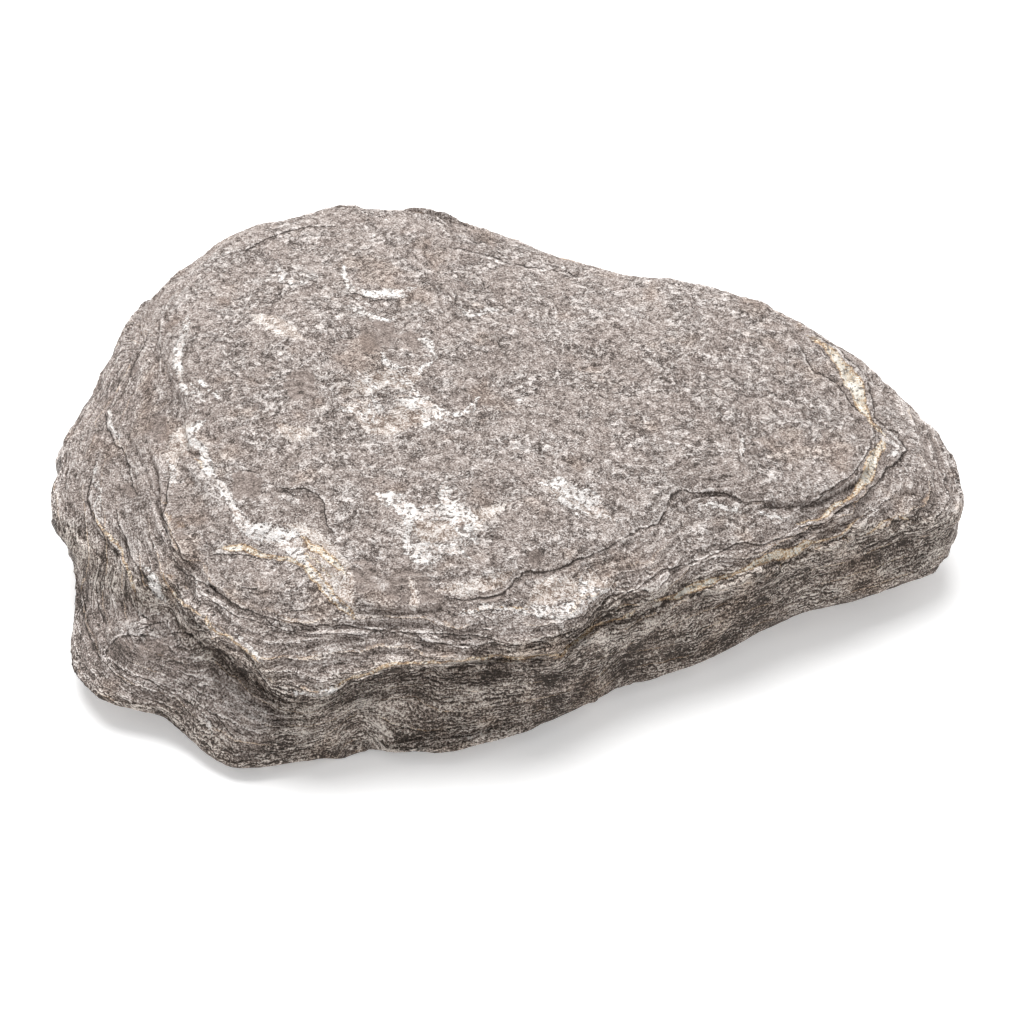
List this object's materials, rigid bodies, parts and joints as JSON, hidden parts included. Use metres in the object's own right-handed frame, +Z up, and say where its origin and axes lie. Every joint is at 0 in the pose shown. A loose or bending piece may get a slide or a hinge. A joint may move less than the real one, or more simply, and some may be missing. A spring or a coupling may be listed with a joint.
{
  "type": "schist stepping stone",
  "caption": "Natural slab of foliated schist with a broad, gently tilted top to step on, ledged flanks with an overhanging lip at the front, and a flat spot beneath to rest on.",
  "frame": {"origin": "centre of the plan box, on the ground under the stone", "axes": "+X along the stone's length towards its narrow end, +Y along its depth away from the overhanging front lip, +Z up"},
  "size_m": [0.46, 0.37, 0.104],
  "materials": {
    "schist": "rough, mottled warm grey, with thin light and dark layers on the flanks, white quartz patches and cream seams"
  },
  "bodies": {
    "root": {"stepping_stone": "schist"}
  },
  "joints": []
}
